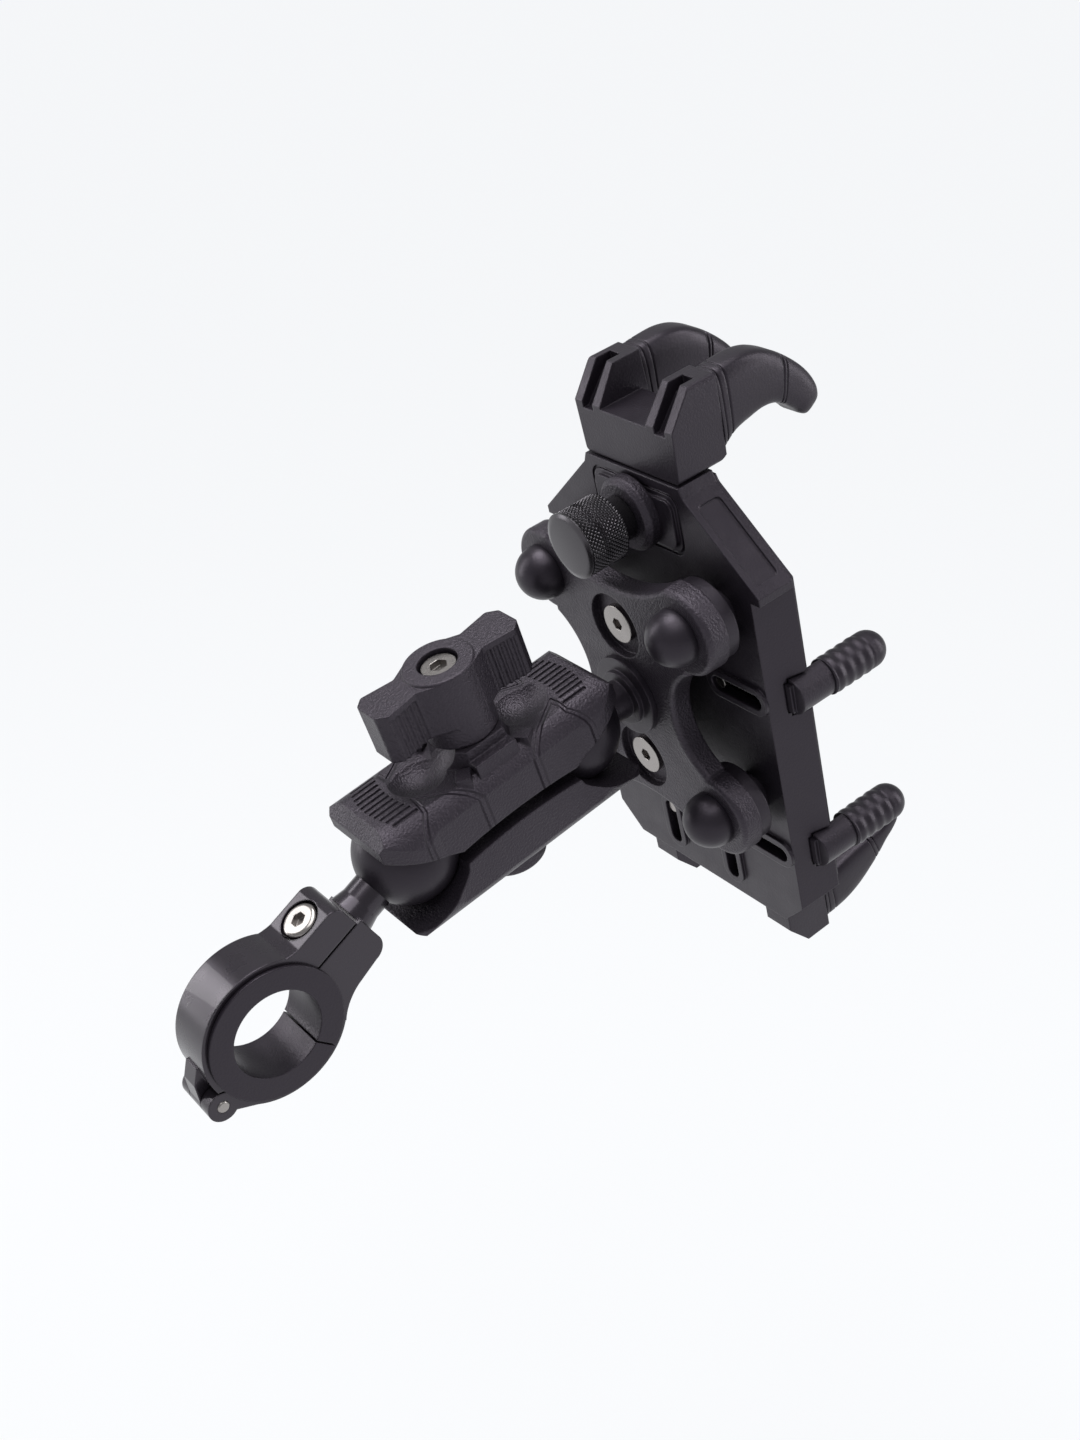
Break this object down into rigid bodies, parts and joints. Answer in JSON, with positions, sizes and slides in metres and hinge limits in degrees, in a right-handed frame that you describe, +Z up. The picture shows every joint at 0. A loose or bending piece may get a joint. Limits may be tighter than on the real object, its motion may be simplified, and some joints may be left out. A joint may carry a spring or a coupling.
{
  "type": "phone mount",
  "caption": "Handlebar phone mount: hinged bar clamp, double-socket arm with wing knob, vibration isolators and a holder with spring arms, feet and a sliding jaw",
  "frame": {"origin": "centre of the handlebar bore, half way along it", "axes": "+X along the handlebar, +Z up, +Y from the handlebar towards the phone; the object is symmetric about the plane x = 0 apart from the two racks hidden inside the holder"},
  "size_m": [0.087, 0.1954, 0.158],
  "materials": {
    "anodised": "polished",
    "filled_plastic": "matte",
    "smooth_plastic": "satin",
    "rubber": "satin",
    "stainless": "satin",
    "spring_steel": "satin",
    "acetal": "satin"
  },
  "bodies": {
    "bar_clamp": {"clamp_base": "anodised", "hinge_pin": "stainless", "reducing_bushing": "smooth_plastic"},
    "strap": {"clamp_strap": "anodised"},
    "clamp_screw": {"clamp_bolt": "stainless"},
    "lower_ball": {"lower_ball_cover": "rubber"},
    "arm": {"lower_shell": "filled_plastic", "arm_nut": "stainless", "shell_spring": "spring_steel"},
    "arm_top": {"upper_shell": "filled_plastic"},
    "knob": {"wing_knob": "filled_plastic", "arm_bolt": "stainless", "thrust_washer": "stainless"},
    "upper_ball": {"upper_ball_cover": "rubber"},
    "holder": {"upper_ball_stud": "smooth_plastic", "damper_plate": "filled_plastic", "nut_plate": "stainless", "plate_screws": "stainless", "isolators": "rubber", "back_shell": "smooth_plastic", "front_cover": "smooth_plastic", "cover_screws": "stainless", "phone_pad": "rubber", "thumb_collar": "anodised"},
    "locking_screw": {"thumb_screw": "anodised"},
    "top_jaw": {"jaw": "smooth_plastic", "jaw_claw_covers": "rubber"},
    "right_arms": {"right_carriage": "smooth_plastic", "right_sleeves": "rubber", "right_guide_pins": "stainless"},
    "left_arms": {"left_carriage": "smooth_plastic", "left_sleeves": "rubber", "left_guide_pins": "stainless"},
    "gear": {"pinion": "acetal"},
    "bottom_feet": {"foot_carriage": "smooth_plastic", "foot_covers": "rubber", "foot_pins": "stainless"}
  },
  "joints": [
    {"name": "strap_hinge", "type": "hinge", "parent": "bar_clamp", "child": "strap", "pos_m": [0, -0.01426, -0.01426], "axis": [1, 0, 0], "range_deg": [0, 3]},
    {"name": "clamp_screw_turn", "type": "hinge", "parent": "strap", "child": "clamp_screw", "pos_m": [0, 0.011, 0.0221], "axis": [0, -0.6101, 0.7923], "range_deg": [0, 990]},
    {"name": "lower_swivel", "type": "hinge", "parent": "bar_clamp", "child": "lower_ball", "pos_m": [0, 0.03954, 0.03045], "axis": [0, 0.7923, 0.6101], "continuous": true},
    {"name": "lower_tilt", "type": "hinge", "parent": "lower_ball", "child": "arm", "pos_m": [0, 0.03954, 0.03045], "axis": [1, 0, 0], "range_deg": [-8, 35]},
    {"name": "arm_release", "type": "slide", "parent": "arm", "child": "arm_top", "axis": [0, -0.3437, 0.9391], "range_m": [0, 0.0015]},
    {"name": "knob_turn", "type": "hinge", "parent": "arm_top", "child": "knob", "pos_m": [0, 0.06283, 0.03897], "axis": [0, -0.3437, 0.9391], "range_deg": [0, 541]},
    {"name": "upper_tilt", "type": "hinge", "parent": "arm", "child": "upper_ball", "pos_m": [0, 0.08611, 0.04749], "axis": [1, 0, 0], "range_deg": [-20, 20]},
    {"name": "holder_swivel", "type": "hinge", "parent": "upper_ball", "child": "holder", "pos_m": [0, 0.08611, 0.04749], "axis": [0, 0.9668, 0.2554], "continuous": true},
    {"name": "locking_screw_turn", "type": "hinge", "parent": "holder", "child": "locking_screw", "pos_m": [0, 0.09424, 0.0966], "axis": [0, 0.9668, 0.2554], "range_deg": [-720, 0]},
    {"name": "jaw_slide", "type": "slide", "parent": "holder", "child": "top_jaw", "axis": [0, -0.2554, 0.9668], "range_m": [0, 0.038]},
    {"name": "right_arm_slide", "type": "slide", "parent": "holder", "child": "right_arms", "axis": [1, 0, 0], "range_m": [0, 0.0126], "stiffness_N_per_m": 150, "springref_m": -0.008},
    {"name": "left_arm_slide", "type": "slide", "parent": "holder", "child": "left_arms", "axis": [-1, 0, 0], "range_m": [0, 0.0126], "stiffness_N_per_m": 150, "springref_m": -0.008},
    {"name": "pinion_turn", "type": "hinge", "parent": "holder", "child": "gear", "pos_m": [0, 0.12846, 0.03872], "axis": [0, 0.9668, 0.2554], "range_deg": [0, 121]},
    {"name": "feet_slide", "type": "slide", "parent": "holder", "child": "bottom_feet", "axis": [0, 0.2554, -0.9668], "range_m": [0, 0.009], "stiffness_N_per_m": 200, "springref_m": -0.01}
  ],
  "couplings": [
    {"joint": "strap_hinge", "follows": "clamp_screw_turn", "ratio": 0.0030303},
    {"joint": "knob_turn", "follows": "arm_release", "rad_per_m": 6283.2},
    {"joint": "left_arm_slide", "follows": "right_arm_slide", "ratio": 1},
    {"joint": "pinion_turn", "follows": "right_arm_slide", "rad_per_m": 166.67}
  ]
}
